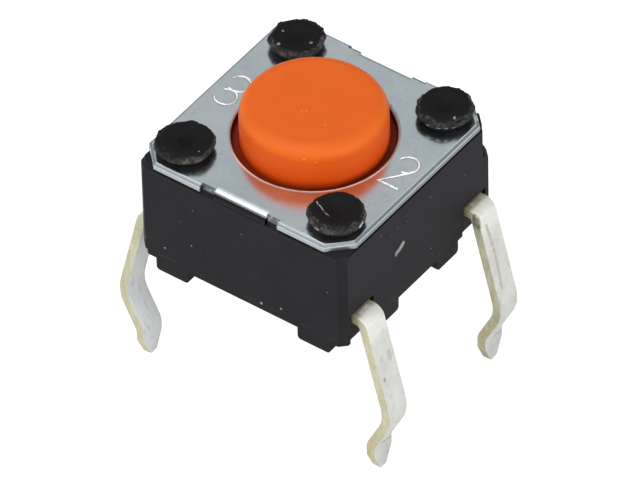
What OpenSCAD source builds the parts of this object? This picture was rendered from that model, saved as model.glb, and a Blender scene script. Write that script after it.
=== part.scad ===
// Tactile push button switch for through hole boards, with four snap-in terminals,
// a round plunger and a stamped cover that is held by four staked posts.
// The origin is the centre of the body on the plane of its standoff feet, where it
// meets the board. Z points up to the plunger, X through the terminal sides and
// Y through the sides where the cover's tabs are bent down.

/* [Body] */
// Width of the body across the terminal sides
body_x = 6; // [5.8:0.1:7]
// Width of the body across the tab sides
body_y = 6; // [5.9:0.1:7]
// Height of the body from its underside to the cover
body_h = 2.94; // [2.7:0.01:3.6]
// Chamfer on the upright corners
corner_chamfer = 0.18; // [0.1:0.02:0.26]
// Height of the inset skirt below the parting line
skirt_h = 0.2; // [0.1:0.01:0.25]
// Inset of the skirt from the side walls
skirt_inset = 0.04; // [0.02:0.01:0.08]
// Height of the inset lip under the cover
lip_h = 0.12; // [0.1:0.01:0.16]
// Inset of the lip from the side walls
lip_inset = 0.06; // [0.03:0.01:0.1]
// Thickness of the floor from the underside to the contacts
floor_t = 0.82; // [0.6:0.01:0.95]
// Radius of the round chamber for the plunger
chamber_r = 2.3; // [2.26:0.01:2.34]
// Radius of the well around the moulding gate in the underside
gate_r = 0.6; // [0.3:0.05:1]
// Depth of the gate well
gate_depth = 0.12; // [0.05:0.01:0.2]

/* [Corner reliefs] */
// Extra chamfer leg of the tall relief beside one terminal
relief_cut = 0.22; // [0.14:0.02:0.32]
// Straight height of the tall relief below the cover
relief_h = 0.97; // [0.4:0.01:1.2]
// Height over which the tall relief rounds out to the full corner
relief_round = 0.28; // [0.16:0.02:0.8]
// Straight height of the short reliefs on the other corners
small_relief_h = 0.1; // [0.05:0.05:0.3]
// Height over which the short reliefs round out
small_relief_round = 0.2; // [0.1:0.05:0.4]

/* [Standoff feet] */
// Height of the feet
foot_h = 0.35; // [0.2:0.05:0.5]
// Radius on the lower corners of the feet
foot_r = 0.1; // [0.05:0.01:0.14]
// Depth of the feet into the underside
foot_depth = 0.55; // [0.3:0.05:0.8]
// Width of the four feet on the tab sides
side_foot_w = 0.95; // [0.6:0.05:1.1]
// Distance of the feet on the tab sides from the middle
side_foot_x = 2.07; // [1.6:0.01:2.1]
// Width of the four feet on the terminal sides
end_foot_w = 0.85; // [0.5:0.05:0.9]
// Distance of the feet on the terminal sides from the middle
end_foot_y = 1.2; // [0.9:0.05:1.25]
// Inset of the feet on the terminal sides
end_foot_inset = 0.04; // [0.02:0.01:0.3]

/* [Staked posts] */
// Distance of the posts from the side walls
post_inset = 0.8; // [0.75:0.01:0.85]
// Radius of the posts
post_r = 0.4; // [0.3:0.01:0.45]
// Radius of the staked heads
head_r = 0.69; // [0.6:0.01:0.74]
// Radius of the undercut foot of the heads on the cover
head_foot_r = 0.52; // [0.5:0.01:0.58]
// Height of the staked heads above the cover
head_h = 0.33; // [0.24:0.01:0.4]
// Height of the undercut below the rim of the heads
head_mid = 0.17; // [0.08:0.01:0.2]
// Radius on the upper rim of the heads
head_crest = 0.14; // [0.08:0.01:0.2]
// Width of the slope from the crest down into the dish
dish_slope = 0.3; // [0.1:0.01:0.36]
// Depth of the dish in the top of each head
dish_depth = 0.07; // [0.04:0.01:0.12]

/* [Cover] */
// Thickness of the sheet
cover_t = 0.18; // [0.15:0.01:0.25]
// Overhang of the cover past the side walls
cover_overhang = 0.02; // [0:0.01:0.06]
// Clipped corners of the cover
cover_chamfer = 0.55; // [0.3:0.05:0.6]
// Rolled radius left by the die on the upper edges
die_edge_r = 0.1; // [0.04:0.01:0.13]
// Width of the two tabs
tab_w = 1.5; // [1.2:0.05:1.7]
// Width of the relief notches beside each tab
tab_notch = 0.36; // [0.2:0.02:0.4]
// Inset of the relief notches from the side walls
notch_inset = 0.08; // [0.05:0.01:0.3]
// Inset of the outer face of a tab from the side walls
tab_inset = 0.01; // [0:0.01:0.04]
// Inner radius of the tab bends
tab_bend = 0.04; // [0.02:0.01:0.06]

/* [Plunger] */
// Radius of the plunger
plunger_r = 1.78; // [1.6:0.01:1.8]
// Height of the plunger above the cover
plunger_rise = 1.03; // [0.6:0.01:6]
// Radius on the top edge of the plunger
plunger_round = 0.4; // [0.1:0.02:0.5]
// Thickness of the retaining flange
flange_t = 0.6; // [0.4:0.05:0.7]
// Radius of the stem below the flange
stem_r = 0.9; // [0.6:0.05:1.2]
// Radius of the nub that presses the dome
nub_r = 0.5; // [0.3:0.05:0.55]
// Height of the nub
nub_h = 0.15; // [0.1:0.01:0.2]
// Travel from rest to the closed contact
travel = 0.25; // [0.15:0.01:0.28]

/* [Guide ribs] */
// Width of the two ribs that keep the plunger from turning
rib_w = 0.5; // [0.3:0.05:0.8]
// Projection of the ribs into the chamber
rib_d = 0.22; // [0.17:0.01:0.24]

/* [Snap dome] */
// Thickness of the spring sheet
dome_t = 0.07; // [0.05:0.01:0.1]
// Height of the dome from its rim to the inside of its crown
dome_h = 0.4; // [0.36:0.01:0.5]
// Radius of the flat crown of the dome
crown_r = 0.25; // [0.15:0.01:0.5]
// Radius of the rim of the dome
dome_r = 2; // [1.9:0.01:2.02]
// Depth of the seat that keeps the dome centred in the floor of the chamber
seat_h = 0.55; // [0.4:0.01:0.7]

/* [Contact frames] */
// Thickness of the terminal strip
strip_t = 0.25; // [0.2:0.01:0.3]
// Width of the terminals
leg_w = 0.7; // [0.6:0.02:0.8]
// Distance of the middle of the terminals from the tab side walls, for a pitch of 4.5
leg_inset = 0.75; // [0.73:0.01:0.85]
// Span between the terminal tips across the body
tip_span = 6.8; // [6.6:0.05:7]
// Span between the bulges of the kinked terminals
bulge_span = 7.84; // [7.4:0.02:8]
// Distance of the shoulder bend from the side wall
shoulder = 0.22; // [0.18:0.01:0.3]
// Radius of the shoulder bend
shoulder_r = 0.2; // [0.15:0.01:0.24]
// Radius of the bulge
bulge_r = 1; // [0.3:0.05:1.4]
// Radius of the kink above the tip
kink_r = 0.45; // [0.2:0.05:0.8]
// Depth of the bulge below the board plane
bulge_depth = 1.78; // [1.6:0.01:2]
// Depth of the kink where the tips turn straight
kink_depth = 2.82; // [2.65:0.01:3]
// Length of the terminals below the board plane
leg_depth = 3.66; // [3.5:0.02:4]
// Width of the terminals at their pointed end
point_w = 0.24; // [0.16:0.02:0.4]
// Height of the pointed part
point_h = 0.5; // [0.3:0.05:0.6]
// Width of the arms inside the body
arm_w = 0.6; // [0.4:0.05:0.7]
// Length of the outer arms past the middle
arm_past = 0.6; // [0.4:0.05:0.9]
// Lap of the outer arms past the rim of the dome
rim_lap = 0.1; // [0.02:0.01:0.2]
// Radius of the centre contact pad
pad_r = 0.45; // [0.4:0.05:0.6]
// Radius of the raised centre contact
contact_r = 0.25; // [0.15:0.01:0.35]

/* [Exit pockets] */
// Depth of the recess around each terminal
pocket_depth = 0.12; // [0.06:0.01:0.16]
// Margin of the recess beside the terminal
pocket_margin = 0.09; // [0.05:0.01:0.12]
// Margin of the recess above the terminal
pocket_top = 0.11; // [0.05:0.01:0.2]

/* [Clearances] */
// Gap between the plunger and the hole in the cover
plunger_gap = 0.17; // [0.1:0.01:0.22]
// Gap between the flange and the chamber wall
flange_gap = 0.12; // [0.08:0.01:0.14]
// Gap between the flange and the cover at rest
flange_play = 0.02; // [0.01:0.01:0.06]
// Gap beside the guide ribs
rib_gap = 0.06; // [0.03:0.01:0.1]
// Gap between the rim of the dome and the wall of its seat
dome_gap = 0.04; // [0.02:0.01:0.06]
// Gap between the nub and the dome at rest
nub_gap = 0.01; // [0.01:0.005:0.03]
// Gap between the posts and their holes in the cover
post_gap = 0.03; // [0.01:0.01:0.06]
// Clearance beside and below the tabs, where the lip is cut away for them
tab_gap = 0.03; // [0.01:0.01:0.04]
// Distance left between the closed dome and the centre contact
contact_gap = 0.02; // [0.01:0.01:0.04]

/* [Hidden] */
$fn = 64;
over = 0.5;
run_out = 0.02;
plastic_black = "#2c2c2e";
plunger_orange = "#e8682a";
sheet_steel = "#a9b0b6";
spring_steel = "#c8c8c4";
plated_brass = "#d6d4c4";

// Heights above the board plane
z_under = foot_h;
z_floor = z_under + floor_t;
z_body = z_under + body_h;
z_cover = z_body + cover_t;
z_plunger = z_cover + plunger_rise;
z_parting = z_under + skirt_h;
z_lip = z_body - lip_h;
z_crown = z_floor + dome_h + dome_t;
z_nub = z_crown + nub_gap;
z_flange = z_body - flange_play;

// Places and radii that follow from the sizes above
post_x = body_x / 2 - post_inset;
post_y = body_y / 2 - post_inset;
post_hole_r = post_r + post_gap;
cover_hole_r = plunger_r + plunger_gap;
flange_r = chamber_r - flange_gap;
seat_r = dome_r + dome_gap;
tab_face = body_y / 2 - tab_inset;
tab_roll = tab_bend + cover_t;
tab_root = tab_face - tab_roll;
leg_y = body_y / 2 - leg_inset;
arm_x = dome_r + rim_lap - arm_w / 2;
closed_scale = (dome_h + dome_t - travel) / (dome_h + dome_t);
contact_h = dome_h * closed_scale - contact_gap;

// Outline of a rectangle with clipped corners
module clipped(wide, deep, clip) {
    x = wide / 2;
    y = deep / 2;
    polygon([[x - clip, -y], [x, clip - y], [x, y - clip], [x - clip, y],
        [clip - x, y], [-x, y - clip], [-x, clip - y], [clip - x, -y]]);
}

// Copies the children to the four quadrants of the body
module quadrants(x, y) {
    for (sx = [-1, 1], sy = [-1, 1])
        translate([sx * x, sy * y, 0])
            children();
}

// Slab of the body between two heights, inset from the side walls
module slab(low, high, inset) {
    translate([0, 0, low])
        linear_extrude(high - low)
            clipped(body_x - 2 * inset, body_y - 2 * inset, corner_chamfer);
}

// Foot outline, wide on top, with rounded lower corners at height zero
module foot_outline(wide) {
    difference() {
        translate([-wide / 2, 0])
            square([wide, foot_h + skirt_h / 2]);
        for (side = [-1, 1])
            translate([side * wide / 2, 0])
                mirror([side > 0 ? 1 : 0, 0])
                    corner_bite(foot_r);
    }
}

// What a round corner of the given radius leaves of its square, at the origin
module corner_bite(r) {
    difference() {
        translate([-r, -r])
            square(2 * r);
        translate([r, r])
            circle(r);
        translate([0, r])
            square(2 * r);
        translate([r, 0])
            square(2 * r);
    }
}

module foot(wide) {
    rotate([90, 0, 0])
        translate([0, 0, -foot_depth])
            linear_extrude(foot_depth)
                foot_outline(wide);
}

module feet() {
    for (side = [0, 180])
        rotate(side)
            for (x = [-side_foot_x, side_foot_x])
                translate([x, skirt_inset - body_y / 2, 0])
                    foot(side_foot_w);
    for (side = [90, 270])
        rotate(side)
            for (y = [-end_foot_y, end_foot_y])
                translate([y, end_foot_inset - body_x / 2, 0])
                    foot(end_foot_w);
}

// Relief cut on one upright corner: a wider chamfer that rounds out below
module corner_relief(cut, straight, round_h) {
    face = (body_x + body_y) / 2 - corner_chamfer;
    full = face / sqrt(2);
    depth = cut / sqrt(2);
    low = z_body - straight;
    run = depth + run_out;
    arc = [for (a = [0:15:90])
        [full - depth + run * sin(a), low - round_h * (1 - cos(a))]];
    rotate(45)
        rotate([90, 0, 0])
            translate([0, 0, -body_x / 2])
                linear_extrude(body_x)
                    polygon(concat([[full - depth, z_body + over]], arc,
                        [[full + over, low - round_h], [full + over, z_body + over]]));
}

module corner_reliefs() {
    corner_relief(relief_cut, relief_h, relief_round);
    for (corner = [[-1, 1], [-1, -1], [1, -1]])
        scale([corner[0], corner[1], 1])
            corner_relief(relief_cut / 2, small_relief_h, small_relief_round);
}

// Round chamber with its two guide ribs left standing, over the narrower seat of the dome
module chamber() {
    translate([0, 0, z_floor])
        cylinder(r = seat_r, h = seat_h + over / 2);
    difference() {
        translate([0, 0, z_floor + seat_h])
            cylinder(r = chamber_r, h = z_body - z_floor - seat_h + over);
        for (side = [-1, 1])
            translate([side * chamber_r, 0, z_floor + body_h / 2])
                cube([2 * rib_d, rib_w, body_h + 2 * over], center = true);
    }
}

// Recess that a terminal comes out of, open towards the board
module exit_pocket() {
    top = z_floor + pocket_top;
    wide = leg_w + 2 * pocket_margin;
    translate([body_x / 2 - pocket_depth, -wide / 2, z_under - over])
        cube([pocket_depth + over, wide, top - z_under + over]);
}

// Gap in the lip of the body that a tab of the cover is bent down into
module lip_gap() {
    wide = tab_w + 2 * tab_gap;
    translate([-wide / 2, tab_root, z_lip])
        cube([wide, body_y, lip_h + over]);
}

// Post with the head that staking forms over the cover
module staked_post() {
    crest = head_r - head_crest;
    z_mid = z_cover + head_mid;
    z_dish = z_cover + head_h - dish_depth;
    side = [for (a = [0:15:90])
        [crest + head_crest * cos(a), z_mid + (head_h - head_mid) * sin(a)]];
    rotate_extrude()
        polygon(concat([[0, z_body - over], [post_r, z_body - over], [post_r, z_cover],
            [head_foot_r, z_cover]], side,
            [[crest - dish_slope, z_dish], [0, z_dish]]));
}

module housing() {
    color(plastic_black) {
        difference() {
            union() {
                slab(z_under, z_parting, skirt_inset);
                slab(z_parting, z_lip, 0);
                slab(z_lip, z_body, lip_inset);
                feet();
            }
            chamber();
            corner_reliefs();
            for (side = [-1, 1], y = [-leg_y, leg_y])
                scale([side, 1, 1])
                    translate([0, y, 0])
                        exit_pocket();
            for (side = [-1, 1])
                scale([1, side, 1])
                    lip_gap();
            outer_frame_flat();
            centre_frame_flat();
            gate_well();
        }
        quadrants(post_x, post_y)
            staked_post();
    }
}

// Shallow round well around the moulding gate in the underside
module gate_well() {
    translate([0, 0, z_under - over])
        cylinder(r = gate_r, h = over + gate_depth);
}

// Outline of the cover with its post holes and the gaps for its tabs
module cover_outline() {
    side_x = body_x + 2 * cover_overhang;
    side_y = body_y + 2 * cover_overhang;
    difference() {
        clipped(side_x, side_y, cover_chamfer);
        quadrants(post_x, post_y)
            circle(post_hole_r);
        for (side = [-1, 1])
            scale([1, side]) {
                translate([-tab_w / 2 - tab_notch, body_y / 2 - notch_inset])
                    square([tab_w + 2 * tab_notch, body_y]);
                translate([-tab_w / 2, tab_root])
                    square([tab_w, body_y]);
            }
    }
}

// Bar that rounds one upper edge, laid along Y with the edge at the origin
module roll_bar(long) {
    rotate([90, 0, 0])
        translate([0, 0, -long / 2])
            linear_extrude(long)
                rotate(180)
                    corner_bite(die_edge_r);
}

// Ring that rounds the upper edge of the plunger hole
module roll_ring() {
    rotate_extrude($fn = 96)
        translate([cover_hole_r, 0])
            mirror([0, 1])
                corner_bite(die_edge_r);
}

module cover_rolls() {
    x = body_x / 2 + cover_overhang;
    y = body_y / 2 + cover_overhang;
    half_clip = cover_chamfer / 2;
    translate([0, 0, z_cover]) {
        for (turn = [0, 180]) {
            rotate(turn)
                translate([x, 0, 0])
                    roll_bar(2 * y);
            rotate(turn + 90)
                translate([y, 0, 0])
                    roll_bar(2 * x);
        }
        for (sx = [-1, 1], sy = [-1, 1])
            translate([sx * (x - half_clip), sy * (y - half_clip), 0])
                rotate(atan2(sy, sx))
                    roll_bar(2 * cover_chamfer);
    }
}

// One tab: the rest of the flat, the bend and the straight end
module cover_tab() {
    translate([-tab_w / 2, tab_root - over, z_body])
        cube([tab_w, over, cover_t]);
    translate([0, tab_root, z_cover - tab_roll])
        rotate([90, 0, 90])
            translate([0, 0, -tab_w / 2])
                bend_arc();
    translate([-tab_w / 2, tab_face - cover_t, z_lip + tab_gap])
        cube([tab_w, cover_t, z_cover - tab_roll - z_lip - tab_gap]);
}

// Quarter bend of the sheet, from straight up to level
module bend_arc() {
    linear_extrude(tab_w)
        intersection() {
            difference() {
                circle(tab_roll);
                circle(tab_bend);
            }
            square(tab_roll);
        }
}

// Round hole that the plunger comes through, with its rolled upper edge
module plunger_hole() {
    translate([0, 0, z_body - over])
        cylinder(r = cover_hole_r, h = cover_t + 2 * over, $fn = 96);
    translate([0, 0, z_cover])
        roll_ring();
}

module cover_plate() {
    color(sheet_steel)
        difference() {
            union() {
                difference() {
                    translate([0, 0, z_body])
                        linear_extrude(cover_t)
                            cover_outline();
                    cover_rolls();
                }
                for (side = [-1, 1])
                    scale([1, side, 1])
                        cover_tab();
            }
            plunger_hole();
        }
}

module plunger() {
    round_z = z_plunger - plunger_round;
    top_arc = [for (a = [0:15:90])
        [plunger_r - plunger_round * (1 - cos(a)), round_z + plunger_round * sin(a)]];
    slot_w = rib_w + 2 * rib_gap;
    slot_in = chamber_r - rib_d - rib_gap;
    color(plunger_orange)
        difference() {
            rotate_extrude($fn = 96)
                polygon(concat([[0, z_nub], [nub_r, z_nub], [nub_r, z_nub + nub_h],
                    [stem_r, z_nub + nub_h], [stem_r, z_flange - flange_t],
                    [flange_r, z_flange - flange_t], [flange_r, z_flange],
                    [plunger_r, z_flange]], top_arc, [[0, z_plunger]]));
            for (side = [-1, 1])
                scale([side, 1, 1])
                    translate([slot_in, -slot_w / 2, z_flange - flange_t - over])
                        cube([chamber_r, slot_w, flange_t + over + flange_play / 2]);
        }
}

// Height of the dome at radius r: a flat crown that falls away to the rim
function crown(r) = let (fall = max(0, r - crown_r) / (dome_r - crown_r))
    dome_h * (1 - fall * fall);

module snap_dome() {
    steps = 8;
    radii = [for (i = [0:steps]) crown_r + (dome_r - crown_r) * i / steps];
    inner = [for (r = radii) [r, z_floor + crown(r)]];
    outer = [for (r = reversed(radii)) [r, z_floor + dome_t + crown(r)]];
    color(spring_steel)
        rotate_extrude($fn = 96)
            polygon(concat([[0, z_floor + dome_h]], inner, outer, [[0, z_crown]]));
}

// Centre line of a strip from tip to tip, as corners with their bend radii
half_line = [[tip_span / 2, -leg_depth, 0], [tip_span / 2, -kink_depth, kink_r],
    [bulge_span / 2, -bulge_depth, bulge_r],
    [body_x / 2 + shoulder, z_floor - strip_t / 2, shoulder_r]];
strip_line = concat(half_line, [for (i = [3:-1:0])
    [-half_line[i][0], half_line[i][1], half_line[i][2]]]);

function unit(v) = v / norm(v);
function flat_pt(p) = [p[0], p[1]];

// Points of the round bend at one corner of the centre line, each with its normal
function bend_points(a, b, c) =
    let (u = unit(flat_pt(a) - flat_pt(b)), v = unit(flat_pt(c) - flat_pt(b)),
        half = acos(u * v) / 2, reach = b[2] / tan(half),
        start = flat_pt(b) + u * reach, finish = flat_pt(b) + v * reach,
        hub = flat_pt(b) + unit(u + v) * b[2] / sin(half),
        turn = sign(u[0] * v[1] - u[1] * v[0]), sweep = 180 - 2 * half, steps = 5)
    [for (i = [0:steps])
        let (spoke = start - hub, a = -turn * sweep * i / steps,
            arm = [spoke[0] * cos(a) - spoke[1] * sin(a), spoke[0] * sin(a) + spoke[1] * cos(a)])
        [hub + arm, unit(arm) * turn]];

// One side of the strip, a distance to the left or right of its centre line
function strip_side(off) =
    let (last = len(strip_line) - 1,
        first_way = unit(flat_pt(strip_line[1]) - flat_pt(strip_line[0])),
        last_way = unit(flat_pt(strip_line[last]) - flat_pt(strip_line[last - 1])),
        left = function(way) [-way[1], way[0]])
    concat([flat_pt(strip_line[0]) + left(first_way) * off],
        [for (i = [1:last - 1])
            for (p = bend_points(strip_line[i - 1], strip_line[i], strip_line[i + 1]))
                p[0] + p[1] * off],
        [flat_pt(strip_line[last]) + left(last_way) * off]);

function reversed(list) = [for (i = [len(list) - 1:-1:0]) list[i]];

// Side view of a whole strip with both of its legs
module strip_profile() {
    rotate([90, 0, 0])
        translate([0, 0, -leg_w / 2])
            linear_extrude(leg_w)
                polygon(concat(strip_side(strip_t / 2), reversed(strip_side(-strip_t / 2))));
}

// Front view of the strip, which points the ends of its legs
module strip_front() {
    half = leg_w / 2;
    rotate([90, 0, 90])
        translate([0, 0, -bulge_span])
            linear_extrude(2 * bulge_span)
                polygon([[-point_w / 2, -leg_depth], [point_w / 2, -leg_depth],
                    [half, point_h - leg_depth], [half, z_floor + over],
                    [-half, z_floor + over], [-half, point_h - leg_depth]]);
}

module strip() {
    intersection() {
        strip_profile();
        strip_front();
    }
}

// Flat arm of a frame at the level of the strip
module arm(x, y_from, y_to) {
    translate([x - arm_w / 2, min(y_from, y_to), z_floor - strip_t])
        cube([arm_w, abs(y_to - y_from), strip_t]);
}

// The part of the outer frame that is moulded into the floor
module outer_frame_flat() {
    for (side = [-1, 1])
        arm(side * arm_x, leg_y, -arm_past);
    translate([-body_x / 2, leg_y - leg_w / 2, z_floor - strip_t])
        cube([body_x, leg_w, strip_t]);
}

// The part of the centre frame that is moulded into the floor
module centre_frame_flat() {
    arm(0, -leg_y, 0);
    translate([0, 0, z_floor - strip_t])
        cylinder(r = pad_r, h = strip_t);
    translate([-body_x / 2, -leg_y - leg_w / 2, z_floor - strip_t])
        cube([body_x, leg_w, strip_t]);
}

module outer_contact_frame() {
    color(plated_brass) {
        outer_frame_flat();
        translate([0, leg_y, 0])
            strip();
    }
}

module centre_contact_frame() {
    color(plated_brass) {
        centre_frame_flat();
        translate([0, -leg_y, 0])
            strip();
        translate([0, 0, z_floor - strip_t / 2])
            cylinder(r = contact_r, h = strip_t / 2 + contact_h);
    }
}

housing();
cover_plate();
plunger();
snap_dome();
outer_contact_frame();
centre_contact_frame();
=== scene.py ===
"""Finishes the tactile push button switch: materials, staked heads, stamped numbers and studio."""
import math
from functools import reduce
from operator import add

import bmesh
import bpy
from mathutils import Matrix, Vector


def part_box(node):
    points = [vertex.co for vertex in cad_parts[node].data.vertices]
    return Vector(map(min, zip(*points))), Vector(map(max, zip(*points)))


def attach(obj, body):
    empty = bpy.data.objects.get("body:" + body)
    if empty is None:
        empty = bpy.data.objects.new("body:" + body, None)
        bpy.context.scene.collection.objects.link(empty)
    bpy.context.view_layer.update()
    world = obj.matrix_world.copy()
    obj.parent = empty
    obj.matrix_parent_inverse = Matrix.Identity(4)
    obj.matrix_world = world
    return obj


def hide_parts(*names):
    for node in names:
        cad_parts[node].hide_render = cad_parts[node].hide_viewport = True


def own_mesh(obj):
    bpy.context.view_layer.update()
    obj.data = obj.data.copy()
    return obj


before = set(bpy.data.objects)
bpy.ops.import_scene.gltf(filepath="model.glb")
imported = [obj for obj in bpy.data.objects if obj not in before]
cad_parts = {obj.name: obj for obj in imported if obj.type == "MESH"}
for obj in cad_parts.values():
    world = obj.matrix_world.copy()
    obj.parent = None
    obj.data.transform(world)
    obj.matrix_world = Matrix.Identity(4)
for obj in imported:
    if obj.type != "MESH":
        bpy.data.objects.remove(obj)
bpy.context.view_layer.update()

MM = 0.001

# Sizes of the object that the frame doesn't give
HOLE_RADIUS = 1.95 * MM
HEAD_RADIUS = 0.69 * MM
COVER_SHEET = 0.18 * MM
BEND_START = 2.77 * MM
TAB_HALF = 0.78 * MM
TERMINAL_PLACE = 2.25 * MM
BODY_EDGE = 0.02 * MM
SMALL_EDGE = 0.03 * MM

# Copying a piece: vertices that are one, faces that are one plane, and edges that look smooth
SAME_POINT = 0.0002 * MM
SAME_PLANE = math.radians(0.6)
SMOOTH_EDGE = math.radians(50.0)

# Places taken from the frame
housing_low, housing_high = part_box("housing")
COVER_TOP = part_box("cover_plate")[1].z
FLOOR_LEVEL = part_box("centre_contact_frame")[0].z
BODY_HALF = housing_high.x
HEAD_HEIGHT = housing_high.z - COVER_TOP
PARTING_LEVEL = housing_low.z + 0.55 * MM
LEDGE_LEVEL = COVER_TOP - COVER_SHEET - 0.12 * MM

# The photograph's camera, fitted to the body and the terminal grid
IMAGE_WIDTH = 640
SENSOR_WIDTH = 36.0
CAMERA_AZIMUTH = math.radians(37.16)
CAMERA_ELEVATION = math.radians(43.15)
CAMERA_ROLL = math.radians(-1.41)
CAMERA_DISTANCE = 249.1 * MM
PIXELS_PER_MM = 42.26
AIM_RIGHT = 0.088 * MM
AIM_UP = -0.748 * MM
AIM_HEIGHT = 1.05 * MM

# Lamps: name, place and side in metres, power in watts. All of them face one point in the body.
LAMPS = [
    ("key_overhead", (-0.02, -0.07, 0.16), 0.13, 0.175),
    ("fill_left", (-0.16, -0.11, 0.07), 0.13, 0.1),
    ("fill_right", (0.18, -0.03, 0.07), 0.12, 0.215),
    ("fill_front", (0.04, -0.17, 0.1), 0.14, 0.055),
]
LAMP_TARGET = (0.0, 0.0, 1.0 * MM)

# The floor: half its side in metres, and the glow that the camera sees with its share of the mix
FLOOR_REACH = 2.0
FLOOR_GLOW = 1.25
FLOOR_GLOW_SHARE = 0.75

# Plain numbers in millimetres from their foot. An arc has its centre, and the lowest and highest
# height from there between which its left side stays open. A line has its points.
NUMBER_ARC = 0.27
TWO = [
    ("arc", (0.27, 0.81), -0.3, 0.05),
    ("line", (0.515, 0.7), (0.43, 0.56), (0.0, 0.0), (0.54, 0.0)),
]
THREE = [("arc", (0.27, 0.81), -0.2, 0.1), ("arc", (0.27, 0.27), -0.1, 0.2)]
NUMBERS = [(TWO, 2.19, -0.46), (THREE, -2.73, -0.46)]

# Section of a staked head, as shares of its reach and height: dished top, slope, undercut and foot
HEAD_SECTION = [
    (0.0, 0.74), (0.12, 0.745), (0.26, 0.8), (0.42, 0.9), (0.56, 0.96), (0.68, 0.99), (0.75, 1.0),
    (0.81, 0.985), (0.86, 0.93), (0.905, 0.85), (0.955, 0.75), (0.99, 0.65), (1.0, 0.57),
    (0.975, 0.48), (0.93, 0.4), (0.88, 0.29), (0.85, 0.15), (0.83, 0.0), (0.0, 0.0),
]
FOOT_SHARE = 0.25

# Heads: place on the cover in millimetres, width and height against the frame's, and lean of the
# flat top as shares of the head's radius
HEADS = [
    (-2.16, -2.2, 1.07, 1.04, (0.09, 0.07)),
    (-2.14, 2.22, 1.0, 1.12, (0.02, 0.0)),
    (2.15, 2.27, 1.03, 1.16, (0.0, 0.03)),
    (2.22, -2.14, 1.03, 1.14, (-0.02, 0.04)),
]

# Named inputs of the staking tree, with their kinds
STAKING_INPUTS = [
    ("Places", "Geometry"), ("Head radius", "Float"), ("Head height", "Float"),
    ("Steps around", "Int"), ("Steps along", "Int"), ("Seed", "Float"), ("Material", "Material"),
]
STEPS_AROUND = 181
STEPS_ALONG = 40
STAKING_SEED = 4.0
SEED_STEP = 3.7

# A scratch across a head's top, then painted highlights along the rims of the heads: lowest and
# highest share of the head's height, then points in millimetres
HEAD_SCRATCHES_AND_GLINTS = [
    (0.8, 1.3, [
        (1.685, -2.192), (1.76, -2.25), (1.85, -2.27), (1.97, -2.33), (2.07, -2.36),
        (2.174, -2.389),
    ]),
    (0.3, 0.8, [(2.02, -2.8), (2.14, -2.84), (2.27, -2.86)]),
    (0.4, 0.95, [(2.9, -2.02), (2.93, -2.12), (2.92, -2.24)]),
    (0.3, 0.62, [(2.12, 1.58), (2.3, 1.59), (2.5, 1.66), (2.66, 1.79), (2.77, 1.95)]),
]

# Light flecks on the heads: place and radius in millimetres
HEAD_FLECKS = [
    (-2.497, 2.157, 0.035), (-1.703, 2.198, 0.05), (-1.62, -2.36, 0.025), (2.62, 2.0, 0.04),
    (-2.3, 1.72, 0.05),
]

# Light specks on the front of the body: place and radius in millimetres
FRONT_SPECKS = [
    (0.589, 0.606, 0.05), (1.162, 0.742, 0.04), (-1.438, 1.363, 0.03), (-2.235, 0.865, 0.035),
]

# Marks on the right legs, a stain streak and painted notch shade lines: places across and up the
# leg and half width, in millimetres, and colour
LEG_MARKS_AND_NOTCH_SHADE = [
    (
        [(2.113, 0.72), (2.159, 0.256), (2.169, -0.184), (2.147, -0.602), (2.108, -1.068)],
        0.07, (0.36, 0.31, 0.22),
    ),
    ([(-2.3, -2.87), (-1.9, -2.97)], 0.035, (0.3, 0.31, 0.29)),
    ([(2.25, -2.95), (2.6, -3.0)], 0.035, (0.3, 0.31, 0.29)),
]

# A thread of lint on the right side of the body, along and up that side in millimetres
SIDE_LINT = [(-0.883, 1.881), (-0.75, 1.939), (-0.628, 2.006)]

# A scratch and a painted highlight on the cover, in millimetres
COVER_SCRATCH = [(2.564, -2.457), (2.63, -2.55), (2.723, -2.635)]
COVER_GLINT = (2.83, 2.7)


def in_metres(points):
    """Points given in millimetres."""
    return [(across * MM, up * MM) for across, up in points]


class Value:
    """A socket of a node tree. Arithmetic on it adds Math nodes."""

    def __init__(self, maker, socket):
        self.maker = maker
        self.socket = socket

    def maths(self, operation, *values):
        inputs = dict(enumerate(values))
        return self.maker.node("ShaderNodeMath", {"operation": operation}, inputs)[0]

    def __add__(self, other):
        return self.maths("ADD", self, other)

    def __radd__(self, other):
        return self.maths("ADD", other, self)

    def __sub__(self, other):
        return self.maths("SUBTRACT", self, other)

    def __rsub__(self, other):
        return self.maths("SUBTRACT", other, self)

    def __mul__(self, other):
        return self.maths("MULTIPLY", self, other)

    def __rmul__(self, other):
        return self.maths("MULTIPLY", other, self)

    def __truediv__(self, other):
        return self.maths("DIVIDE", self, other)

    def __gt__(self, other):
        return self.maths("GREATER_THAN", self, other)

    def __lt__(self, other):
        return self.maths("LESS_THAN", self, other)

    def power(self, exponent):
        return self.maths("POWER", self, exponent)

    def size(self):
        return self.maths("ABSOLUTE", self)

    def wave(self):
        return self.maths("SINE", self)

    def cosine(self):
        return self.maths("COSINE", self)

    def least(self, other):
        return self.maths("MINIMUM", self, other)

    def most(self, other):
        return self.maths("MAXIMUM", self, other)

    def span(self, low, high):
        """Goes smoothly from 0 to 1 while the value goes from low to high."""
        return self.maker.node(
            "ShaderNodeMapRange",
            {"interpolation_type": "SMOOTHSTEP"},
            {"Value": self, "From Min": low, "From Max": high, "To Min": 0.0, "To Max": 1.0},
        )["Result"]

    def fade(self, low, high):
        """Goes smoothly from 1 to 0 while the value goes from low to high."""
        return 1.0 - self.span(low, high)


def length_of(*steps):
    """Length of the way that is made of steps along different axes."""
    return reduce(add, (step.power(2.0) for step in steps)).power(0.5)


class Outputs:
    """The outputs of one node, by name or number."""

    def __init__(self, maker, made):
        self.maker = maker
        self.made = made

    def __getitem__(self, name):
        return Value(self.maker, self.made.outputs[name])


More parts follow.
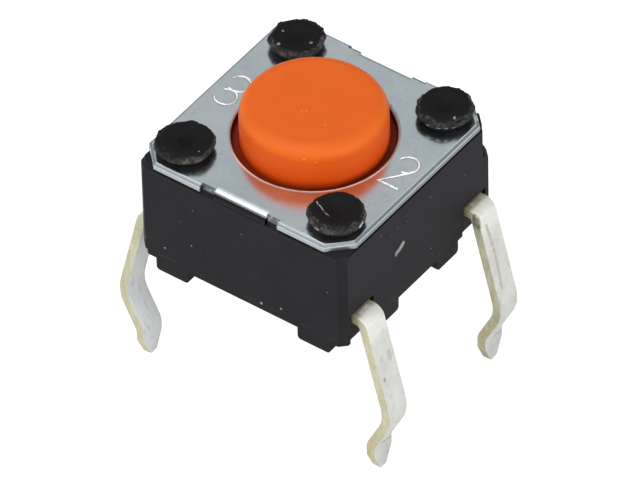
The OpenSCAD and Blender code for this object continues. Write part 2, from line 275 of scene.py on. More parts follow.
class NodeMaker:
    """Makes the nodes of one tree, with settings and sockets given in place."""

    def __init__(self, tree):
        self.tree = tree

    def node(self, kind, settings=None, inputs=None):
        made = self.tree.nodes.new(kind)
        for name, value in (settings or {}).items():
            if name == "curve":
                self.set_curve(made.mapping, value)
            else:
                setattr(made, name, value)
        for name, value in (inputs or {}).items():
            if isinstance(value, Value):
                self.tree.links.new(value.socket, made.inputs[name])
            else:
                made.inputs[name].default_value = value
        return Outputs(self, made)

    def axes(self, vector):
        split = self.node("ShaderNodeSeparateXYZ", inputs={"Vector": vector})
        return split["X"], split["Y"], split["Z"]

    @staticmethod
    def set_curve(mapping, points):
        curve = mapping.curves[0]
        while len(curve.points) < len(points):
            curve.points.new(0.5, 0.5)
        for knot, place in zip(curve.points, points):
            knot.location = place
            knot.handle_type = "VECTOR"
        mapping.update()


class Finish(NodeMaker):
    """A material around one Principled shader, built in metres on Object coordinates."""

    def __init__(self, name, **constants):
        self.material = bpy.data.materials.new(name)
        self.material.use_nodes = True
        super().__init__(self.material.node_tree)
        self.shader = self.tree.nodes["Principled BSDF"]
        for socket, value in constants.items():
            self.shader.inputs[socket.replace("_", " ")].default_value = value
        self.place = self.node("ShaderNodeTexCoord")["Object"]

    def feed(self, socket, value):
        self.tree.links.new(value.socket, self.shader.inputs[socket])

    def place_axes(self):
        return self.axes(self.place)

    def normal_axes(self):
        return self.axes(self.node("ShaderNodeTexCoord")["Normal"])

    def stretched(self, scale, turn=(0.0, 0.0, 0.0)):
        """Places scaled along each axis and turned, for a grain that runs one way."""
        inputs = {"Vector": self.place, "Scale": scale, "Rotation": turn}
        return self.node("ShaderNodeMapping", inputs=inputs)[0]

    def grain(self, size, detail=3.0, roughness=0.55, vector=None):
        """Noise whose lumps are about the given size in metres."""
        return self.node("ShaderNodeTexNoise", inputs={
            "Vector": vector or self.place,
            "Scale": 1.0 / size,
            "Detail": detail,
            "Roughness": roughness,
        })["Fac"]

    def cells(self, size):
        """Distance from the nearest of scattered points, as a share of their spacing."""
        inputs = {"Vector": self.place, "Scale": 1.0 / size}
        return self.node("ShaderNodeTexVoronoi", inputs=inputs)["Distance"]

    def blend(self, amount, first, second):
        """Mix of two colours, which are inputs 6 and 7 of the node and its output 2."""
        inputs = {0: amount, 6: colour_of(first), 7: colour_of(second)}
        return self.node("ShaderNodeMix", {"data_type": "RGBA"}, inputs)[2]

    def spot(self, centre, radii, ragged=0.35):
        """A soft patch round a centre, with ragged edges: 1 inside, 0 outside."""
        wobble = (self.grain(0.05 * MM) - 0.5) * ragged
        shares = ((axis - middle) / radius
                  for axis, middle, radius in zip(self.place_axes(), centre, radii))
        return (length_of(*shares) + wobble).fade(0.7, 1.0)

    def segment(self, start, end, axes):
        """Distance from a line between two points, on the given axes."""
        way = [b - a for a, b in zip(start, end)]
        length = sum(step * step for step in way)
        gaps = [axis - a for axis, a in zip(axes, start)]
        along = reduce(add, (gap * (step / length) for gap, step in zip(gaps, way)))
        along = along.most(0.0).least(1.0)
        return length_of(*(gap - along * step for gap, step in zip(gaps, way)))

    def path(self, points, axes):
        """Distance from a line through several points, on the given axes."""
        return reduce(Value.least, (
            self.segment(start, end, axes) for start, end in zip(points, points[1:])
        ))

    def bump(self, height, depth, onto=None):
        inputs = {"Height": height, "Distance": depth, "Strength": 1.0}
        if onto is not None:
            inputs["Normal"] = onto
        return self.node("ShaderNodeBump", inputs=inputs)["Normal"]


def colour_of(value):
    return value if isinstance(value, Value) else (*value, 1.0)


def black_moulding():
    """Satin black plastic of the body, with spark-eroded texture, specks, lint and stains, and
    painted highlights along the parting line and the ledge under the cover.
    """
    finish = Finish("black_moulding", Specular_IOR_Level=0.09)
    mottle = finish.grain(0.9 * MM)
    grit = finish.grain(0.035 * MM, 2.0)
    x, y, z = finish.place_axes()
    base = finish.blend(
        mottle.span(0.35, 0.7), (0.0106, 0.0109, 0.0131), (0.014, 0.0144, 0.0169)
    )

    # A painted highlight, in patches, along the parting line.
    seam = (z - PARTING_LEVEL).size().fade(0.008 * MM, 0.03 * MM)
    seam_highlight = seam * finish.grain(0.5 * MM).span(0.42, 0.6)
    base = finish.blend(seam_highlight * 0.5, base, (0.1, 0.085, 0.055))
    # A faint painted highlight along the top edge of the body wall under the cover.
    ledge_highlight = (z - LEDGE_LEVEL).size().fade(0.01 * MM, 0.035 * MM)
    base = finish.blend(ledge_highlight * 0.1, base, (0.09, 0.085, 0.08))

    side = x.size().span(BODY_HALF - 0.3 * MM, BODY_HALF)
    leg_row = (y.size() - TERMINAL_PLACE).size().fade(0.3 * MM, 0.75 * MM)
    stain = side * leg_row * z.fade(0.9 * MM, 1.7 * MM) * finish.grain(0.4 * MM).span(0.3, 0.6)
    base = finish.blend(stain * 0.55, base, (0.021, 0.019, 0.009))

    specks = (finish.cells(0.33 * MM) < 0.085) * (finish.grain(0.8 * MM) > 0.56)
    base = finish.blend(specks * 0.6, base, (0.12, 0.12, 0.115))
    for speck_x, speck_z, radius in FRONT_SPECKS:
        near = length_of(x - speck_x * MM, z - speck_z * MM) + (grit - 0.5) * 0.04 * MM
        speck = near.fade(radius * 0.5 * MM, radius * MM) * (y < 0.0)
        base = finish.blend(speck * 0.8, base, (0.3, 0.3, 0.29))

    lint = finish.path(in_metres(SIDE_LINT), (y, z)) + (grit - 0.5) * 0.03 * MM
    lint = lint.fade(0.045 * MM, 0.09 * MM) * (x > BODY_HALF - 0.1 * MM)
    lint = lint * finish.grain(0.08 * MM).span(0.34, 0.5)
    base = finish.blend(lint * 0.85, base, (0.33, 0.33, 0.33))

    finish.feed("Base Color", base)
    finish.feed("Roughness", 0.42 + mottle * 0.14 + grit * 0.08)
    finish.feed("Normal", finish.bump(grit + mottle * 0.5, 0.004 * MM))
    return finish.material


def staked_black():
    """Plastic pressed over by the staking tool: smooth and dark on top, crumbly and grey below,
    with a scratch and painted highlights along the rims.
    """
    finish = Finish("staked_black", Specular_IOR_Level=0.1)
    lumps = finish.grain(0.16 * MM, 4.0, 0.65)
    grit = finish.grain(0.03 * MM, 3.0)
    x, y, z = finish.place_axes()
    upright = finish.normal_axes()[2]
    height = (z - COVER_TOP) / HEAD_HEIGHT
    base = finish.blend(lumps, (0.0035, 0.0035, 0.004), (0.0085, 0.0082, 0.0086))

    dish = height.fade(0.78, 0.95) * upright.span(0.8, 0.95)
    base = finish.blend(dish * 0.7, base, (0.002, 0.002, 0.0022))
    slope = upright.fade(0.6, 0.92) * height.span(0.32, 0.5)
    base = finish.blend(slope * 0.6, base, (0.034, 0.033, 0.032))
    crumbs = finish.grain(0.15 * MM, 5.0, 0.72).span(0.42, 0.68)
    crumbs = crumbs * finish.grain(0.5 * MM).span(0.3, 0.6)
    base = finish.blend(slope * crumbs * 0.75, base, (0.125, 0.122, 0.118))

    for centre_x, centre_y, radius in HEAD_FLECKS:
        near = length_of(x - centre_x * MM, y - centre_y * MM) + (grit - 0.5) * 0.03 * MM
        fleck = near.fade(radius * 0.6 * MM, radius * MM) * height.span(0.5, 0.6)
        base = finish.blend(fleck * 0.85, base, (0.24, 0.24, 0.23))
    # A scratch, and painted highlights along the rims.
    for low, high, points in HEAD_SCRATCHES_AND_GLINTS:
        line = finish.path(in_metres(points), (x, y)).fade(0.004 * MM, 0.02 * MM)
        level = height.span(low, low + 0.04) * height.fade(high, high + 0.04)
        broken = finish.grain(0.09 * MM).span(0.4, 0.52)
        base = finish.blend(line * level * broken * 0.85, base, (0.42, 0.42, 0.4))

    finish.feed("Base Color", base)
    finish.feed("Roughness", 0.46 + grit * 0.2 + slope * 0.2)
    finish.feed("Normal", finish.bump(lumps * (0.4 + slope) + grit * 0.4, 0.016 * MM))
    return finish.material


def number_lines(finish, x, y):
    """Distance from the strokes of the two plain numbers."""
    strokes = []
    for number, left, foot in NUMBERS:
        for kind, *places in number:
            if kind == "line":
                points = in_metres((left + u, foot + v) for u, v in places)
                strokes.append(finish.path(points, (x, y)))
            else:
                (u, v), open_low, open_high = places
                across, up = x - (left + u) * MM, y - (foot + v) * MM
                ring = (length_of(across, up) - NUMBER_ARC * MM).size()
                left_out = (across < 0.0) * (up > open_low * MM) * (up < open_high * MM)
                strokes.append(ring + left_out * MM)
    return reduce(Value.least, strokes)


def cover_sheet():
    """Bright stamped sheet: nearly a mirror, with pits, rolling marks and the stamped numbers, and
    painted shade and highlights on its edges, notches, hole and strokes.
    """
    finish = Finish("cover_sheet")
    x, y, z = finish.place_axes()
    nx, _, nz = finish.normal_axes()
    across = length_of(x, y)
    clouds = finish.grain(1.4 * MM)
    rolled_way = finish.stretched((1.0, 0.12, 1.0), (0.0, 0.0, 0.6))
    rolled = finish.grain(0.05 * MM, 3.0, 0.6, rolled_way)
    tab = (x.size() < TAB_HALF) * (y.size() > BEND_START)
    outside = across > HOLE_RADIUS + 0.3 * MM
    sheared = nz.size().fade(0.1, 0.35) * (1.0 - tab)

    base = finish.blend(clouds.span(0.3, 0.7), (0.62, 0.7, 0.745), (0.69, 0.765, 0.8))
    # The cut faces that face along x are painted darker than those along y: painted shade.
    cut = finish.blend(nx.size().span(0.5, 0.9), (0.44, 0.475, 0.5), (0.26, 0.28, 0.29))
    base = finish.blend(sheared, base, cut)

    scuff_way = finish.stretched((1.0, 0.5, 1.0), (0.0, 0.0, -0.5))
    scuffs = finish.grain(0.1 * MM, 5.0, 0.7, scuff_way).span(0.52, 0.72)
    base = finish.blend(scuffs * 0.16, base, (0.3, 0.32, 0.34))
    border = x.size().most(y.size()) > 2.2 * MM
    dull = finish.grain(0.5 * MM, 4.0).span(0.5, 0.7) * border
    base = finish.blend(dull * 0.12, base, (0.4, 0.42, 0.43))
    pits = (finish.cells(0.22 * MM) < 0.075) * (finish.grain(0.6 * MM) > 0.5)
    base = finish.blend(pits * 0.5, base, (0.16, 0.18, 0.2))

    tab_shade = tab * z.fade(COVER_TOP - 0.12 * MM, COVER_TOP - 0.07 * MM)
    base = finish.blend(tab_shade, base, (0.02, 0.02, 0.022))
    # The rolled edges are painted darker: painted shade over their reflection of the sky.
    rolled_edge = nz.span(0.3, 0.55) * nz.fade(0.9, 0.985) * (1.0 - tab) * outside
    base = finish.blend(rolled_edge * 0.75, base, (0.15, 0.16, 0.17))

    hole_deep = across.fade(HOLE_RADIUS + 0.01 * MM, HOLE_RADIUS + 0.045 * MM)
    hole_edge = across.fade(HOLE_RADIUS + 0.09 * MM, HOLE_RADIUS + 0.12 * MM)
    hole_edge = hole_edge * (1.0 - hole_deep) * (1.0 - sheared)
    base = finish.blend(hole_edge * 0.9, base, (0.34, 0.365, 0.38))
    # Right at the hole the sheet is painted dark red: a painted reflection of the plunger's shaded
    # foot.
    base = finish.blend(hole_deep, base, (0.12, 0.04, 0.022))

    # Dark patches in the notches beside the tabs: burrs, with painted shade over the black lip
    # below them.
    notch = (x.size() > 0.755 * MM) * (x.size() < 1.13 * MM) * y.size().span(2.86 * MM, 2.9 * MM)
    burr_and_shade = notch * finish.grain(0.12 * MM).span(0.3, 0.45)
    base = finish.blend(burr_and_shade * 0.75, base, (0.06, 0.052, 0.045))
    # The hole's cut wall is painted dark red: a painted reflection of the plunger.
    inner_wall = sheared * (1.0 - outside)
    base = finish.blend(inner_wall * 0.95, base, (0.13, 0.055, 0.035))

    scratch = finish.path(in_metres(COVER_SCRATCH), (x, y))
    scratch = scratch.fade(0.006 * MM, 0.02 * MM) * nz.span(0.5, 0.9)
    # A painted highlight on the rolled corner.
    glint_x, glint_y = COVER_GLINT
    glint_radii = (0.1 * MM, 0.2 * MM, 0.1 * MM)
    glint = finish.spot((glint_x * MM, glint_y * MM, COVER_TOP), glint_radii) * 0.6
    base = finish.blend(scratch.most(glint), base, (0.92, 0.92, 0.93))

    # A painted highlight, pale pink, along the front of the hole's rolled rim.
    hole_rim = (across - HOLE_RADIUS - 0.055 * MM).size().fade(0.014 * MM, 0.032 * MM)
    facing = (x * 0.45 - y * 0.9).span(0.6 * MM, 1.3 * MM)
    rim_highlight = hole_rim * facing * finish.grain(0.25 * MM).span(0.25, 0.5)
    base = finish.blend(rim_highlight, base, (0.98, 0.66, 0.6))

    uneven = (finish.grain(0.25 * MM) - 0.5) * 0.03 * MM
    groove = (number_lines(finish, x, y) + uneven).fade(0.012 * MM, 0.036 * MM)
    groove = groove * (z > COVER_TOP - 0.02 * MM)
    # Painted highlights, in patches, on the stamped strokes.
    stroke_highlight = groove * finish.grain(0.3 * MM).span(0.3, 0.62)
    base = finish.blend(groove * 0.5, base, (0.72, 0.71, 0.71))
    base = finish.blend(stroke_highlight, base, (1.0, 1.0, 1.0))

    roughness = 0.13 + clouds * 0.06 + rolled * 0.06
    roughness = roughness + sheared * outside * 0.3 + rolled_edge * 0.35 + groove * 0.2
    pale = (stroke_highlight * 0.75).most(rim_highlight * 0.85).most(hole_edge * 0.85)
    pressed = finish.bump(1.0 - groove, 0.02 * MM)
    finish.feed("Base Color", base)
    finish.feed("Metallic", 1.0 - pale)
    finish.feed("Roughness", roughness.least(1.0))
    finish.feed("Normal", finish.bump(rolled + clouds * 2.0, 0.0012 * MM, onto=pressed))
    return finish.material


def orange_moulding():
    """Satin orange plastic of the plunger, a little translucent, with dust, a painted sheen on the
    top and the rounded edge, and painted shade low on the sides and in the gap.
    """
    finish = Finish(
        "orange_moulding",
        Specular_IOR_Level=0.1,
        Subsurface_Weight=0.08,
        Subsurface_Radius=(0.5 * MM, 0.12 * MM, 0.04 * MM),
        Subsurface_Scale=0.4,
    )
    z = finish.place_axes()[2]
    upright = finish.normal_axes()[2]
    soft = finish.grain(1.1 * MM)
    grit = finish.grain(0.04 * MM, 2.0)
    # The top is painted a yellower orange than the sides: a painted sheen from the light on top.
    around = finish.blend(soft.span(0.3, 0.7), (0.62, 0.08, 0.004), (0.65, 0.09, 0.005))
    above = finish.blend(soft.span(0.3, 0.7), (0.6, 0.099, 0.01), (0.63, 0.109, 0.013))
    base = finish.blend(upright.span(0.3, 0.9), around, above)

    # A painted highlight on the rounded top edge.
    edge_sheen = upright.span(0.0, 0.6) * upright.fade(0.6, 0.97)
    base = finish.blend(edge_sheen * 0.38, base, (0.7, 0.17, 0.022))
    # Painted shade: the sides are darker and redder towards the cover.
    foot = z.fade(COVER_TOP - 0.1 * MM, COVER_TOP + 0.6 * MM)
    base = finish.blend(foot * 0.55, base, (0.56, 0.038, 0.0015))
    # Painted shade on what lies in the gap and under the cover.
    gap_shade = z.fade(COVER_TOP - 0.24 * MM, COVER_TOP + 0.1 * MM)
    base = finish.blend(gap_shade * 0.95, base, (0.13, 0.0105, 0.002))
    dust = (finish.cells(0.3 * MM) < 0.06) * (finish.grain(0.9 * MM) > 0.55)
    base = finish.blend(dust * 0.5, base, (0.95, 0.5, 0.3))

    finish.feed("Base Color", base)
    finish.feed("Roughness", 0.36 + soft * 0.1 + grit * 0.05)
    finish.feed("Normal", finish.bump(grit, 0.003 * MM))
    return finish.material


def plated_terminal():
    """Dull plated strip, with the yellower metal showing on its cut edges and a few stains,
    painted highlights on the shoulders, painted light on the inner faces of the left legs and
    painted shade lines at the notches.
    """
    finish = Finish("plated_terminal", Specular_IOR_Level=0.4)
    clouds = finish.grain(0.6 * MM, 4.0)
    drawn = finish.grain(0.05 * MM, 3.0, 0.6, finish.stretched((1.0, 1.0, 0.1)))
    nx, ny, _ = finish.normal_axes()
    x, y, z = finish.place_axes()
    cut_side = ny.size().span(0.5, 0.9)

    cut = finish.blend(clouds.span(0.35, 0.65), (0.43, 0.415, 0.235), (0.53, 0.51, 0.31))
    smeared = finish.grain(0.1 * MM, 3.0, 0.55, finish.stretched((1.0, 1.0, 0.12)))
    cut = finish.blend(smeared.span(0.44, 0.6) * 0.55, cut, (0.57, 0.57, 0.46))
    bend = (z + 2.85 * MM).size().fade(0.2 * MM, 0.7 * MM)
    cut = finish.blend(bend * finish.grain(0.3 * MM).span(0.4, 0.6) * 0.45, cut, (0.5, 0.37, 0.15))
    face = finish.blend(clouds.span(0.3, 0.7), (0.5, 0.51, 0.485), (0.585, 0.59, 0.56))
    # The inner faces of the left legs are painted lighter and bluer: a bluer plating, partly
    # painted light on faces the lamps leave dim.
    face = finish.blend((x < 0.0) * nx.span(0.3, 0.7) * 0.6, face, (0.68, 0.7, 0.74))
    base = finish.blend(cut_side, face, cut)

    # The shoulders of the legs are painted lighter: a painted highlight.
    shoulder = z.span(0.35 * MM, 0.75 * MM) * ny.size().fade(0.4, 0.8)
    base = finish.blend(shoulder * 0.8, base, (0.7, 0.7, 0.645))
    mottled = finish.grain(0.11 * MM, 5.0, 0.7).span(0.35, 0.65)
    base = finish.blend(mottled * 0.17, base, (0.82, 0.83, 0.8))
    stain = finish.grain(0.22 * MM, 3.0).span(0.6, 0.75)
    base = finish.blend(stain * 0.35, base, (0.3, 0.29, 0.23))
    root = x.size().fade(3.02 * MM, 3.2 * MM) * finish.grain(0.18 * MM).span(0.3, 0.6)
    base = finish.blend(root * 0.75, base, (0.28, 0.23, 0.1))
    streak = finish.grain(0.16 * MM, 4.0, 0.6, finish.stretched((1.0, 1.0, 0.16)))
    streak = streak.span(0.56, 0.7) * z.fade(0.3 * MM, 0.8 * MM)
    base = finish.blend(streak * 0.4, base, (0.36, 0.33, 0.24))
    lower = z.fade(-2.6 * MM, -0.6 * MM)
    brown = cut_side * lower * finish.grain(0.3 * MM).span(0.45, 0.62)
    base = finish.blend(brown * 0.3, base, (0.46, 0.36, 0.2))

    nick = finish.spot((3.72 * MM, -2.45 * MM, -0.58 * MM), (0.4 * MM, 0.05 * MM, 0.07 * MM))
    base = finish.blend(nick, base, (0.3, 0.31, 0.31))
    tarnish = finish.spot((3.58 * MM, -2.09 * MM, -0.1 * MM), (0.3 * MM, 0.1 * MM, 0.2 * MM))
    base = finish.blend(tarnish * 0.6, base, (0.4, 0.38, 0.27))
    # A stain streak, and painted shade lines where small notches sit at the lower kinks.
    for points, reach, colour in LEG_MARKS_AND_NOTCH_SHADE:
        line = finish.path(in_metres(points), (y, z)).fade(0.01 * MM, reach * MM)
        streak_and_notch_shade = line * (x > 3.1 * MM) * finish.grain(0.2 * MM, 4.0).span(0.3, 0.5)
        base = finish.blend(streak_and_notch_shade * nx.span(0.2, 0.5) * 0.7, base, colour)
    smudge = finish.spot(
        (3.31 * MM, 1.9 * MM, 0.98 * MM), (0.15 * MM, 0.08 * MM, 0.34 * MM), ragged=0.8
    )
    smudge = smudge * finish.grain(0.12 * MM).span(0.2, 0.55)
    base = finish.blend(smudge * 0.75, base, (0.09, 0.088, 0.07))

    dimples = finish.grain(0.13 * MM, 4.0, 0.65)
    finish.feed("Base Color", base)
    finish.feed("Metallic", 0.25 - stain * 0.15)
    finish.feed("Roughness", 0.42 + clouds * 0.14)
    finish.feed("Normal", finish.bump(drawn + clouds + dimples * 2.0, 0.009 * MM))
    return finish.material


def dome_spring():
    """Bright spring strip of the dome, with circular polishing."""
    finish = Finish("dome_spring", Metallic=1.0)
    clouds = finish.grain(0.8 * MM)
    x, y, _ = finish.place_axes()
    rings = (length_of(x, y) / (0.01 * MM)).wave()
    finish.feed("Base Color", finish.blend(clouds, (0.58, 0.58, 0.56), (0.68, 0.68, 0.66)))
    finish.feed("Roughness", 0.2 + clouds * 0.1 + rings * 0.02)
    return finish.material


def give(piece, material):
    piece.data.materials.clear()
    piece.data.materials.append(material)


def link_piece(name, mesh, material, body=None):
    piece = bpy.data.objects.new(name, mesh)
    bpy.context.scene.collection.objects.link(piece)
    give(piece, material)
    if body:
        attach(piece, body)
    return piece


def cut_above(work, level):
    """Cuts off what lies above the level and closes the cut."""
    cut = bmesh.ops.bisect_plane(
        work, geom=work.verts[:] + work.edges[:] + work.faces[:],
        plane_co=(0.0, 0.0, level), plane_no=(0.0, 0.0, 1.0), clear_outer=True,
    )
    rims = [edge for edge in cut["geom_cut"] if isinstance(edge, bmesh.types.BMEdge)]
    bmesh.ops.holes_fill(work, edges=rims)


def eased_copy(name, node, width, material, body, limit=35.0, trim=None):
    """Copy of a piece from the frame with its sharp edges rounded by a small width."""
    work = bmesh.new()
    work.from_mesh(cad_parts[node].data)
    bmesh.ops.remove_doubles(work, verts=work.verts, dist=SAME_POINT)
    if trim is not None:
        cut_above(work, trim)
    bmesh.ops.dissolve_limit(
        work, angle_limit=SAME_PLANE, verts=work.verts, edges=work.edges
    )
    sharp = [
        edge for edge in work.edges
        if len(edge.link_faces) == 2 and edge.calc_face_angle() > math.radians(limit)
    ]
    if width:
        bmesh.ops.bevel(
            work, geom=sharp, offset=width, segments=2, profile=0.55, affect="EDGES",
            clamp_overlap=True,
        )
    for face in work.faces:
        face.smooth = True
    for edge in work.edges:
        if len(edge.link_faces) == 2:
            edge.smooth = edge.calc_face_angle() < SMOOTH_EDGE
    bmesh.ops.recalc_face_normals(work, faces=work.faces)
    mesh = bpy.data.meshes.new(name)
    work.to_mesh(mesh)
    work.free()
    piece = link_piece(name, mesh, material, body=body)
    if width:
        weigh = piece.modifiers.new("even_faces", "WEIGHTED_NORMAL")
        weigh.keep_sharp = True
    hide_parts(node)
    return piece


def make_dome():
    """The snap dome, copied from the frame with a mesh of its own. In the switch it flattens onto
    its seat under the nub as the plunger goes down.
    """
    dome = eased_copy("spring_dome", "snap_dome", 0.0, dome_spring(), "base")
    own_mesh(dome)


def make_camera():
    sin, cos = math.sin, math.cos
    back = Vector((
        sin(CAMERA_AZIMUTH) * cos(CAMERA_ELEVATION),
        -cos(CAMERA_AZIMUTH) * cos(CAMERA_ELEVATION),
        sin(CAMERA_ELEVATION),
    ))
    level = Vector((cos(CAMERA_AZIMUTH), sin(CAMERA_AZIMUTH), 0.0))
    upright = back.cross(level)
    right = level * cos(CAMERA_ROLL) + upright * sin(CAMERA_ROLL)
    up = upright * cos(CAMERA_ROLL) - level * sin(CAMERA_ROLL)
    aim = Vector((0.0, 0.0, AIM_HEIGHT)) + right * AIM_RIGHT + up * AIM_UP
    data = bpy.data.cameras.new("camera")
    data.sensor_width = SENSOR_WIDTH
    data.lens = PIXELS_PER_MM * CAMERA_DISTANCE / MM * SENSOR_WIDTH / IMAGE_WIDTH
    data.clip_start = 0.01
    data.clip_end = 10.0
    camera = bpy.data.objects.new("camera", data)
    bpy.context.scene.collection.objects.link(camera)
    turned = Matrix((right, up, back)).transposed().to_4x4()
    camera.matrix_world = Matrix.Translation(aim + back * CAMERA_DISTANCE) @ turned
    bpy.context.scene.camera = camera


def make_lamps():
    for name, place, side, power in LAMPS:
        data = bpy.data.lights.new(name, "AREA")
        data.size = side
        data.energy = power
        lamp = bpy.data.objects.new(name, data)
        bpy.context.scene.collection.objects.link(lamp)
        lamp.location = place
        away = Vector(place) - Vector(LAMP_TARGET)
        lamp.rotation_euler = away.to_track_quat("Z", "Y").to_euler()


def make_world():
    """White to the camera. To the object it is brightest overhead and behind on the left."""
    world = bpy.data.worlds.new("studio")
    bpy.context.scene.world = world
    world.use_nodes = True
    maker = NodeMaker(world.node_tree)
    back = world.node_tree.nodes["Background"]
    back.inputs["Color"].default_value = (1.0, 1.0, 1.0, 1.0)
    x, y, z = maker.axes(maker.node("ShaderNodeTexCoord")["Generated"])
    overhead = z.span(0.7, 0.92)
    left_back = (y * 0.8 - x * 0.6).span(-0.3, 0.6) * z.span(0.05, 0.6)
    sky = 0.24 + left_back * 0.31 + overhead * 0.5
    seen = maker.node("ShaderNodeLightPath")["Is Camera Ray"]
    brightness = seen + (1.0 - seen) * sky
    maker.tree.links.new(brightness.socket, back.inputs["Strength"])


def make_floor():
    """A plain pale floor that reads white to the camera and keeps the shadow of the object."""
    finish = Finish(
        "pale_floor", Base_Color=(0.86, 0.86, 0.86, 1.0), Roughness=0.9, Specular_IOR_Level=0.0
    )
    white = (1.0, 1.0, 1.0, 1.0)
    glow = finish.node("ShaderNodeEmission", inputs={"Color": white, "Strength": FLOOR_GLOW})[0]
    share = finish.node("ShaderNodeLightPath")["Is Camera Ray"] * FLOOR_GLOW_SHARE
    plain = Value(finish, finish.shader.outputs[0])
    surface = finish.node("ShaderNodeMixShader", inputs={0: share, 1: plain, 2: glow})[0]
    output = finish.tree.nodes["Material Output"]
    finish.tree.links.new(surface.socket, output.inputs["Surface"])
    corners = [(-1.0, -1.0), (1.0, -1.0), (1.0, 1.0), (-1.0, 1.0)]
    mesh = bpy.data.meshes.new("floor")
    mesh.from_pydata(
        [(x * FLOOR_REACH, y * FLOOR_REACH, FLOOR_LEVEL) for x, y in corners], [], [(0, 1, 2, 3)]
    )
    floor = link_piece("floor", mesh, finish.material)


def head_profile():
    """The head's section with each corner's share of its length. The hidden foot counts less."""
    lengths = [0.0]
    for (r0, h0), (r1, h1) in zip(HEAD_SECTION, HEAD_SECTION[1:]):
        step = math.hypot((r1 - r0) * HEAD_RADIUS, (h1 - h0) * HEAD_HEIGHT)
        under = r1 == 0.0 and h1 == 0.0
        lengths.append(lengths[-1] + step * (FOOT_SHARE if under else 1.0))
    shares = [length / lengths[-1] for length in lengths]
    return [(share, *corner) for share, corner in zip(shares, HEAD_SECTION)]


def staking_tree():
    """Puts one pressed cap on each point, then roughens each as the staking tool does."""
    tree = bpy.data.node_groups.new("staking", "GeometryNodeTree")
    for name, kind in STAKING_INPUTS:
        tree.interface.new_socket(name, in_out="INPUT", socket_type="NodeSocket" + kind)
    tree.interface.new_socket("Heads", in_out="OUTPUT", socket_type="NodeSocketGeometry")
    maker = NodeMaker(tree)
    given = maker.node("NodeGroupInput")

    def stored(name):
        return maker.node(
            "GeometryNodeInputNamedAttribute", {"data_type": "FLOAT"}, {"Name": name}
        )["Attribute"]

    def store(geometry, name, value):
        return maker.node(
            "GeometryNodeStoreNamedAttribute", {"data_type": "FLOAT", "domain": "POINT"},
            {"Geometry": geometry, "Name": name, "Value": value},
        )["Geometry"]

    def vector(x, y, z):
        return maker.node("ShaderNodeCombineXYZ", inputs={"X": x, "Y": y, "Z": z})["Vector"]

    def step(kind, **inputs):
        return maker.node(kind, inputs=inputs)[0]

    # One cap of unit reach and height: a grid that is wrapped round the section
    grid = maker.node("GeometryNodeMeshGrid", inputs={
        "Size X": 1.0, "Size Y": 1.0,
        "Vertices X": given["Steps around"], "Vertices Y": given["Steps along"],
    })["Mesh"]
    u, t, _ = maker.axes(maker.node("GeometryNodeInputPosition")["Position"])
    angle = (u + 0.5) * (2.0 * math.pi)
    profile = head_profile()
    reach_curve = [(share, reach) for share, reach, _ in profile]
    height_curve = [(share, height) for share, _, height in profile]
    along = {"Value": t + 0.5}
    columns = {
        "way_x": angle.cosine(),
        "way_y": angle.wave(),
        "reach": maker.node("ShaderNodeFloatCurve", {"curve": reach_curve}, along)["Value"],
        "share": maker.node("ShaderNodeFloatCurve", {"curve": height_curve}, along)["Value"],
    }
    for name, value in columns.items():
        grid = store(grid, name, value)
    way_x, way_y, reach, share = (stored(name) for name in columns)
    wrapped = vector(way_x * reach, way_y * reach, share)
    cap = step("GeometryNodeSetPosition", Geometry=grid, Position=wrapped)
    cap = step("GeometryNodeMergeByDistance", Geometry=cap, Distance=0.0003)
    cap = step("GeometryNodeFlipFaces", Mesh=cap)

    wide = stored("wide") * given["Head radius"]
    tall = stored("tall") * given["Head height"]
    heads = step(
        "GeometryNodeInstanceOnPoints",
        Points=given["Places"], Instance=cap, Scale=vector(wide, wide, tall),
    )
    heads = step("GeometryNodeRealizeInstances", Geometry=heads)

    seed = given["Seed"] + stored("turn")

    def lumps(across, up, number, spread=1.0):
        """Noise from -1 to 1 round each head, with its own lumps for each number."""
        place = vector(way_x * spread * across, way_y * spread * across, share * up)
        noise = maker.node(
            "ShaderNodeTexNoise", {"noise_dimensions": "4D"},
            {"Vector": place, "W": seed + number, "Scale": 1.0, "Detail": 0.0},
        )["Fac"]
        return (noise - 0.5) * 2.0

    slow = lumps(1.3, 0.0, 0.0)
    tears = lumps(3.1, 0.8, 5.3)
    chips = lumps(9.0, 6.0, 11.7)
    crumbs = lumps(11.0, 9.0, 17.1, reach)
    rim = share.span(0.25, 0.5) * share.fade(0.86, 0.98) * (reach > 0.8)
    ragged = slow * 0.06 + tears * 0.045 + (chips * 0.03 + crumbs * 0.018) * rim
    outward = wide * reach * (ragged * reach - 0.015)
    fall = lumps(2.4, 0.0, 23.9, reach) * 0.05 + lumps(7.7, 0.0, 29.3, reach) * 0.02
    fall = fall + rim * (tears * 0.08 + crumbs * 0.08)
    upward = tall * fall * (share * 3.0).least(1.0) * (share > 0.001)
    leaning = ((share - 0.6) / 0.35).most(0.0).least(1.0) * (reach < 0.99) * given["Head radius"]
    offset = vector(
        way_x * outward + leaning * stored("lean_x"),
        way_y * outward + leaning * stored("lean_y"),
        upward,
    )
    heads = step("GeometryNodeSetPosition", Geometry=heads, Offset=offset)
    heads = step("GeometryNodeRealizeInstances", Geometry=heads)
    heads = step("GeometryNodeSetMaterial", Geometry=heads, Material=given["Material"])
    maker.node("NodeGroupOutput", inputs={"Heads": heads})
    return tree


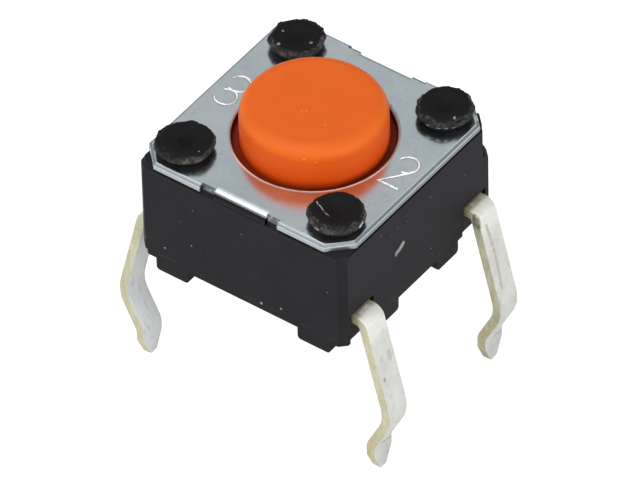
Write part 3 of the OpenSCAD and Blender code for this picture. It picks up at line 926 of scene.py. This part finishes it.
def make_heads(material):
    """The four posts of the body, staked over the cover into dished heads."""
    places = bpy.data.meshes.new("staking_places")
    places.from_pydata([(x * MM, y * MM, COVER_TOP) for x, y, *_ in HEADS], [], [])
    columns = {
        "wide": [wide for _, _, wide, _, _ in HEADS],
        "tall": [tall for _, _, _, tall, _ in HEADS],
        "lean_x": [lean[0] for *_, lean in HEADS],
        "lean_y": [lean[1] for *_, lean in HEADS],
        "turn": [index * SEED_STEP for index in range(len(HEADS))],
    }
    for name, values in columns.items():
        places.attributes.new(name, "FLOAT", "POINT").data.foreach_set("value", values)
    carrier = bpy.data.objects.new("staking_places", places)
    bpy.context.scene.collection.objects.link(carrier)
    staking = carrier.modifiers.new("staking", "NODES")
    staking.node_group = staking_tree()
    wanted = {
        "Head radius": HEAD_RADIUS, "Head height": HEAD_HEIGHT, "Steps around": STEPS_AROUND,
        "Steps along": STEPS_ALONG, "Seed": STAKING_SEED, "Material": material,
    }
    for socket in staking.node_group.interface.items_tree:
        if socket.name in wanted:
            staking[socket.identifier] = wanted[socket.name]
    bpy.context.view_layer.update()
    solid = carrier.evaluated_get(bpy.context.evaluated_depsgraph_get())
    mesh = bpy.data.meshes.new_from_object(solid)
    carrier.modifiers.remove(staking)
    bpy.data.objects.remove(carrier)
    for name in ("way_x", "way_y", "reach", "share", *columns):
        if name in mesh.attributes:
            mesh.attributes.remove(mesh.attributes[name])
    mesh.name = "staked_heads"
    mesh.shade_smooth()
    link_piece("staked_heads", mesh, material, body="base")


def main():
    make_camera()
    make_world()
    make_floor()
    make_lamps()
    eased_copy(
        "moulded_body", "housing", BODY_EDGE, black_moulding(), "base",
        trim=COVER_TOP - 0.02 * MM,
    )
    give(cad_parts["cover_plate"], cover_sheet())
    eased_copy(
        "orange_plunger", "plunger", SMALL_EDGE, orange_moulding(), "button"
    )
    terminal = plated_terminal()
    for name, node in (
        ("outer_terminals", "outer_contact_frame"),
        ("centre_terminals", "centre_contact_frame"),
    ):
        eased_copy(name, node, SMALL_EDGE, terminal, "base", limit=50.0)
    make_dome()
    make_heads(staked_black())
    bpy.context.scene.view_settings.view_transform = "Standard"


main()
